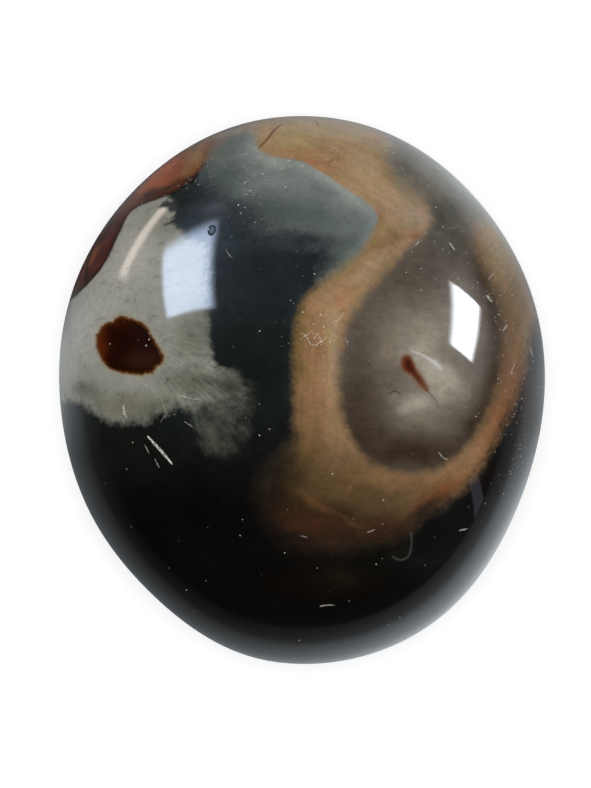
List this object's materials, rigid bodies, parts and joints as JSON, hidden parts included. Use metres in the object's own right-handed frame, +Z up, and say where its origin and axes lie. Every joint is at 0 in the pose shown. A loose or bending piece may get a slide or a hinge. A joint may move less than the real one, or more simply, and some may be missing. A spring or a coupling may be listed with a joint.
{
  "type": "polished stone",
  "caption": "Palm-sized polished pebble of polychrome jasper, plump and slightly egg-shaped, with a small flat spot to rest on.",
  "frame": {"origin": "on the surface the pebble rests on, under the middle of its outline", "axes": "+Z up, away from the resting surface, through the broad face shown in the picture; +Y along the pebble's length to its blunt end, which is up in the picture; +X to the right in the picture"},
  "size_m": [0.0676, 0.0764, 0.0502],
  "materials": {
    "polished_jasper": "high polish, with near-black, slate, sage, tan, rust and mahogany patches"
  },
  "bodies": {
    "root": {"pebble": "polished_jasper"}
  },
  "joints": []
}
